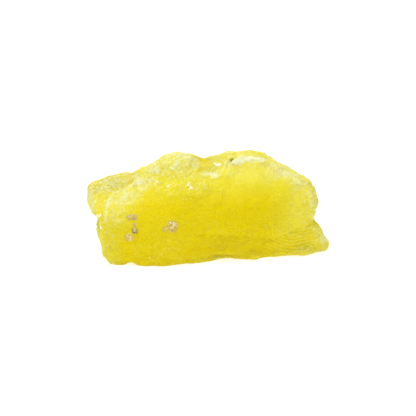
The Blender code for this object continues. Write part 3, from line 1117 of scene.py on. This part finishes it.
def build_host_grains(mass, settings):
    """Irregular grains of host rock, bedded in the small hollows of the mass."""
    rng = random.Random(settings.seed)
    tree = surface_tree(mass.data)
    bm = bmesh.new()
    dark = bm.verts.layers.float.new("dark")
    for _name, centre, spread, count, largest, darkness in HOST_SPOTS:
        for _grain in range(count):
            step = random_step(rng, GRAIN_SCATTER, spread)
            place, normal, _face, _away = tree.find_nearest((Vector(centre) + step) * MM)
            size = rng.uniform(*GRAIN_SIZES) * largest * MM
            shade = rng.uniform(*GRAIN_SHADES)
            scale = Matrix.Diagonal([size * rng.uniform(*GRAIN_WIDTHS) for _axis in range(3)]).to_4x4()
            bed = Matrix.Translation(place - normal * size * GRAIN_SINK)
            matrix = bed @ random_turn(rng) @ scale
            grain = bmesh.ops.create_icosphere(bm, subdivisions=1, radius=GRAIN_RADIUS, matrix=matrix)
            for vert in grain["verts"]:
                vert.co += normal * GRAIN_BUMP * size * noise.noise(vert.co / GRAIN_BUMP_SIZE)
                vert[dark] = darkness * shade
    return mesh_from(bm, "host_grains")


# Properties


def colour_property(name, description, default):
    return FloatVectorProperty(
        name=name, description=description, default=default, subtype="COLOR", size=3, min=0, max=1
    )


def share_property(name, description, default):
    return FloatProperty(
        name=name, description=description, default=default, subtype="FACTOR", min=0, max=1
    )


def length_property(name, description, default, smallest=0.0):
    return FloatProperty(
        name=name, description=description, default=default, unit="LENGTH", min=smallest
    )


def power_property(name, description, default):
    return FloatProperty(name=name, description=description, default=default, unit="POWER", min=0)


class BruciteFinish(bpy.types.PropertyGroup):
    gold: colour_property("Gold", "Colour where the mass is thick", (0.77, 0.61, 0.0))
    # Olive paints shade in hollows and deep patches, and darkens real dust.
    olive: colour_property("Olive tint", "Tint of the deepest places", (0.85, 0.82, 0.85))
    # Lemon, frost and sugar are pale colours of the crust that also paint highlights and light through
    # thin places.
    lemon: colour_property("Lemon", "Colour where the mass is thin", (0.765, 0.67, 0.03))
    frost_and_light: colour_property("Frost", "Colour of the sugary crust", (0.855, 0.84, 0.36))
    sugar: colour_property("Sugar", "Colour of the whitest crystals", (0.97, 0.96, 0.68))
    host_tan: colour_property("Host tan", "Darker colour of the host rock", (0.66, 0.46, 0.1))
    host_cream: colour_property("Host cream", "Lighter colour of the host rock", (0.94, 0.85, 0.5))
    host_dark: colour_property("Host dark", "Colour of the darkest grains", (0.12, 0.08, 0.05))
    # The plates' near-white colours are partly their own and partly painted glints.
    plate_dark: colour_property("Plate dark", "Deeper colour of the plates", (0.93, 0.9, 0.5))
    plate_light: colour_property("Plate light", "Paler colour of the plates", (0.97, 0.96, 0.78))
    roughness: share_property("Roughness", "Roughness of the clear mass", 0.36)
    gloss: share_property("Gloss", "Strength of the waxy reflection", 0.03)
    glow: share_property("Glow", "Share of the light that enters the mass", 0.3)
    glow_colour: colour_property("Glow colour", "How far each colour travels", (1.0, 0.8, 0.12))
    glow_depth: length_property("Glow depth", "How deep light travels in the mass", 1.2 * MM)


class BruciteMassSettings(bpy.types.PropertyGroup):
    voxel: length_property("Cell", "Size of the skin's cells", 0.28 * MM, 0.1 * MM)
    smoothing: IntProperty(name="Smoothing", description="Rounds that soften the facets", default=4)
    relief: share_property("Relief", "Height of the crust's relief", 1.0)


class CrystalSettings(bpy.types.PropertyGroup):
    clusters: IntProperty(name="Clusters", description="Number of strewn clusters", default=150, min=0)
    spread: length_property("Spread", "Reach of the widest cluster", 1.2 * MM)
    size: length_property("Size", "Width of the largest strewn plate", 0.3 * MM)
    seed: IntProperty(name="Seed", description="Picks another scatter of plates", default=4)


class HostGrainSettings(bpy.types.PropertyGroup):
    seed: IntProperty(name="Seed", description="Picks another set of grains", default=7)


class StageSettings(bpy.types.PropertyGroup):
    elevation: FloatProperty(
        name="Elevation",
        description="Angle of the camera above the table",
        default=math.radians(25),
        subtype="ANGLE",
    )
    distance: length_property("Distance", "From the camera to the specimen", 0.4)
    view_width: length_property("View width", "Width of the picture at the specimen", 102.3 * MM)
    aim: FloatVectorProperty(
        name="Aim",
        description="The point that the camera looks at",
        default=(0.11 * MM, -0.63 * MM, 10.55 * MM),
        subtype="TRANSLATION",
        precision=5,
    )
    table_size: length_property("Table size", "Width of the table", 8.0)
    table_glow: share_property("Table glow", "Light that comes up through the table", 0.62)
    sky: share_property("Surround", "Brightness of the white surround", 0.8)
    overhead_power: power_property("Overhead", "Power of the soft light above", 1.6)
    back_power: power_property("Back", "Power of the soft light behind", 0.3)


SETTINGS = {
    "brucite_finish": BruciteFinish,
    "brucite_mass": BruciteMassSettings,
    "brucite_crystals": CrystalSettings,
    "brucite_host_grains": HostGrainSettings,
    "brucite_stage": StageSettings,
}


# Operators


class BRUCITE_OT_mass(bpy.types.Operator):
    """Build the specimen's finished surface over its solid"""

    bl_idname = "brucite.mass"
    bl_label = "Brucite Mass"

    def execute(self, context):
        scene = context.scene
        mesh = build_mass(scene.brucite_mass)
        piece = new_piece("brucite_mass", mesh, brucite_material(scene.brucite_finish))
        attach(piece, BODY)
        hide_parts(NODE)
        return {"FINISHED"}


class BRUCITE_OT_crystals(bpy.types.Operator):
    """Scatter small crystal plates over the frosted crust"""

    bl_idname = "brucite.crystals"
    bl_label = "Crystal Plates"

    def execute(self, context):
        scene = context.scene
        mesh = build_crystals(bpy.data.objects["brucite_mass"], scene.brucite_crystals)
        piece = new_piece("crystal_plates", mesh, crystal_material(scene.brucite_finish))
        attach(piece, BODY)
        return {"FINISHED"}


class BRUCITE_OT_host_grains(bpy.types.Operator):
    """Bed the grains of host rock in the mass"""

    bl_idname = "brucite.host_grains"
    bl_label = "Host Rock Grains"

    def execute(self, context):
        scene = context.scene
        mesh = build_host_grains(bpy.data.objects["brucite_mass"], scene.brucite_host_grains)
        piece = new_piece("host_grains", mesh, host_material(scene.brucite_finish))
        mesh.shade_smooth()
        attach(piece, BODY)
        return {"FINISHED"}


def add_area_light(name, place, aim, size, power):
    light = bpy.data.lights.new(name, "AREA")
    light.shape = "SQUARE"
    light.size = size
    light.energy = power
    lamp = bpy.data.objects.new(name, light)
    lamp.location = place
    lamp.rotation_euler = (aim - Vector(place)).to_track_quat("-Z", "Y").to_euler()
    bpy.context.scene.collection.objects.link(lamp)


class BRUCITE_OT_stage(bpy.types.Operator):
    """Lay the white table and set the soft lights and the camera"""

    bl_idname = "brucite.stage"
    bl_label = "Light Table"

    def execute(self, context):
        scene = context.scene
        settings = scene.brucite_stage
        bm = bmesh.new()
        bmesh.ops.create_grid(bm, x_segments=1, y_segments=1, size=settings.table_size / 2)
        bmesh.ops.translate(bm, verts=bm.verts, vec=(0, 0, -TABLE_GAP))
        white = table_material(settings.table_glow)
        new_piece("table", mesh_from(bm, "table"), white)

        scene.world = white_surround(settings.sky)
        scene.view_settings.view_transform = "Standard"

        aim = Vector(settings.aim)
        powers = (settings.overhead_power, settings.back_power)
        for (name, place, width), power in zip(LIGHTS, powers):
            add_area_light(name, place, aim, width, power)

        lens = bpy.data.cameras.new("camera")
        lens.sensor_width = FILM_WIDTH_MM
        lens.lens = lens.sensor_width * settings.distance / settings.view_width
        lens.clip_start = NEAREST_SEEN
        camera = bpy.data.objects.new("camera", lens)
        back = Vector((0, -math.cos(settings.elevation), math.sin(settings.elevation)))
        camera.location = aim + back * settings.distance
        camera.rotation_euler = back.to_track_quat("Z", "Y").to_euler()
        scene.collection.objects.link(camera)
        scene.camera = camera
        return {"FINISHED"}


class BRUCITE_PT_panel(bpy.types.Panel):
    """Lists the specimen's pieces in the order they are made"""

    bl_idname = "BRUCITE_PT_panel"
    bl_label = "Brucite Specimen"
    bl_space_type = "VIEW_3D"
    bl_region_type = "UI"
    bl_category = "Brucite"

    def draw(self, context):
        for operator in OPERATORS:
            self.layout.operator(operator.bl_idname)


OPERATORS = (BRUCITE_OT_mass, BRUCITE_OT_crystals, BRUCITE_OT_host_grains, BRUCITE_OT_stage)
CLASSES = (*SETTINGS.values(), *OPERATORS, BRUCITE_PT_panel)


def register():
    for made in CLASSES:
        bpy.utils.register_class(made)
    for name, settings in SETTINGS.items():
        setattr(bpy.types.Scene, name, PointerProperty(type=settings))


def unregister():
    for name in SETTINGS:
        delattr(bpy.types.Scene, name)
    for made in reversed(CLASSES):
        bpy.utils.unregister_class(made)


def main():
    register()
    bpy.ops.brucite.mass()
    bpy.ops.brucite.crystals()
    bpy.ops.brucite.host_grains()
    bpy.ops.brucite.stage()


if __name__ == "__main__":
    main()
